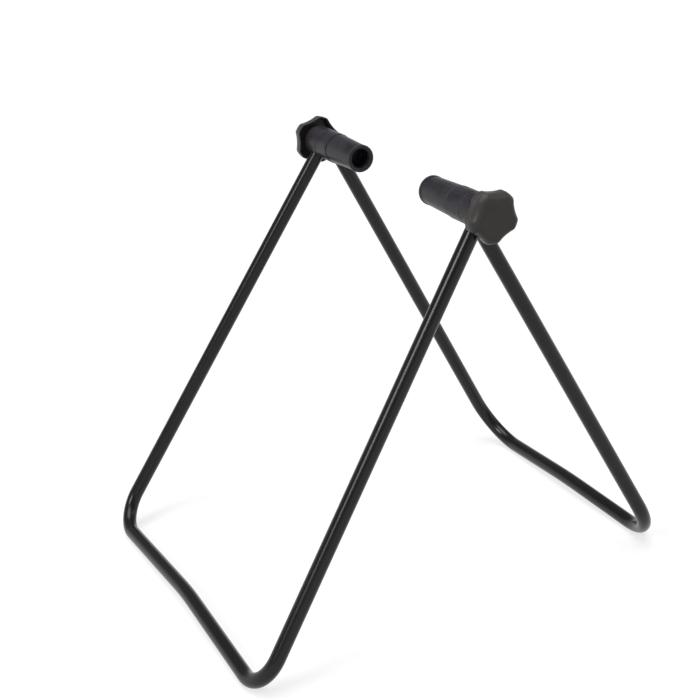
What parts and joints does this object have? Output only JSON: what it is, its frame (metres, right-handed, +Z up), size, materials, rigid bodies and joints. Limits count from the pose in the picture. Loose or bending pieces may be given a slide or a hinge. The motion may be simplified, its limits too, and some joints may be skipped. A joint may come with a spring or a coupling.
{
  "type": "bike wheel stand",
  "caption": "Folding stand that grips a bicycle wheel's axle ends between screw-driven hub cups; bent tube hoops pivot on star knob bolts and spread into an A-frame.",
  "frame": {"origin": "on the floor, under the middle of the open stand's footprint", "axes": "+Z up, +Y along the axle to the wheel's left end, +X towards the inner frame's feet; the axle is at x 0.034, z 0.350"},
  "size_m": [0.417, 0.3622, 0.3718],
  "materials": {
    "tube_black": "satin black enamel over round steel tube",
    "barrel_plastic": "moulded nylon, bluish black, soft broad sheen",
    "knob_plastic": "moulded plastic, warm charcoal, matte",
    "zinc_steel": "zinc plated",
    "white_nylon": "natural nylon"
  },
  "bodies": {
    "outer_frame": {"outer_tube": "tube_black", "outer_knuckle_left": "barrel_plastic", "outer_knuckle_right": "barrel_plastic", "pivot_washer_left": "white_nylon", "pivot_washer_right": "white_nylon", "knob_washer_left": "zinc_steel", "knob_washer_right": "zinc_steel"},
    "inner_frame": {"inner_tube": "tube_black", "inner_knuckle_left": "barrel_plastic", "inner_knuckle_right": "barrel_plastic", "end_washer_left": "zinc_steel", "end_washer_right": "zinc_steel"},
    "knob_left": {"star_knob_left": "knob_plastic", "knob_bolt_left": "zinc_steel", "lock_nut_left": "zinc_steel"},
    "knob_right": {"star_knob_right": "knob_plastic", "knob_bolt_right": "zinc_steel", "lock_nut_right": "zinc_steel"},
    "cup_left": {"hub_cup_left": "barrel_plastic", "cup_nut_left": "zinc_steel"},
    "cup_right": {"hub_cup_right": "barrel_plastic", "cup_nut_right": "zinc_steel"}
  },
  "joints": [
    {"name": "fold", "type": "hinge", "parent": "outer_frame", "child": "inner_frame", "pos_m": [0.034, 0, 0.35], "axis": [0, 1, 0], "range_deg": [0, 60.5]},
    {"name": "knob_turn_left", "type": "hinge", "parent": "outer_frame", "child": "knob_left", "pos_m": [0.034, 0.16, 0.35], "axis": [0, 1, 0], "range_deg": [0, 3600]},
    {"name": "knob_turn_right", "type": "hinge", "parent": "outer_frame", "child": "knob_right", "pos_m": [0.034, -0.16, 0.35], "axis": [0, -1, 0], "range_deg": [0, 3600]},
    {"name": "cup_slide_left", "type": "slide", "parent": "outer_frame", "child": "cup_left", "axis": [0, -1, 0], "range_m": [0, 0.0125]},
    {"name": "cup_slide_right", "type": "slide", "parent": "outer_frame", "child": "cup_right", "axis": [0, 1, 0], "range_m": [0, 0.0125]}
  ],
  "couplings": [
    {"joint": "cup_slide_left", "follows": "knob_turn_left", "m_per_rad": 0.00019894},
    {"joint": "cup_slide_right", "follows": "knob_turn_right", "m_per_rad": 0.00019894}
  ]
}
